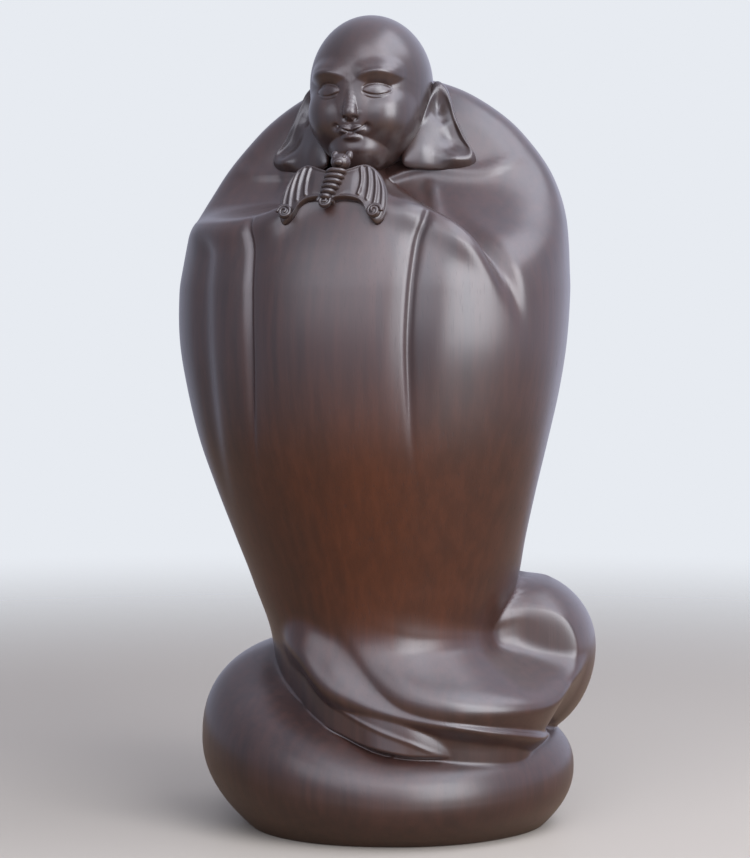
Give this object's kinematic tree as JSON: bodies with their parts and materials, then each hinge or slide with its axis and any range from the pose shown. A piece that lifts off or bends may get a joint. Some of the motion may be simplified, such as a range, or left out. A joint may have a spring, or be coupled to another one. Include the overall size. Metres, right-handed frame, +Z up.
{
  "type": "carved wooden buddha statue",
  "caption": "Free-standing carved hardwood figure of a bald monk in a long robe whose train lies in a coil, with long ear lobes and a small bat on the joined sleeves.",
  "frame": {"origin": "on the flat underside, on the upright axis of the figure", "axes": "+Z up, the figure faces -Y, +X is the figure's left side and the viewer's right"},
  "size_m": [0.1988, 0.1804, 0.404],
  "materials": {
    "robe_ebony": "hand-rubbed satin polish, dark brown ebony with a redder, straight-grained patch low on the front",
    "head_ebony": "smoother satin polish, very dark brown ebony",
    "bat_ebony": "satin polish, very dark brown ebony, darker in the carved hollows",
    "dowel_beech": "plain unfinished beech, hidden inside the joints"
  },
  "bodies": {
    "root": {"robe_body": "robe_ebony", "train_base": "robe_ebony", "head": "head_ebony", "bat_ornament": "bat_ebony", "neck_dowel": "dowel_beech", "base_dowel_1": "dowel_beech", "base_dowel_2": "dowel_beech", "base_dowel_3": "dowel_beech", "bat_peg_1": "dowel_beech", "bat_peg_2": "dowel_beech"}
  },
  "joints": []
}
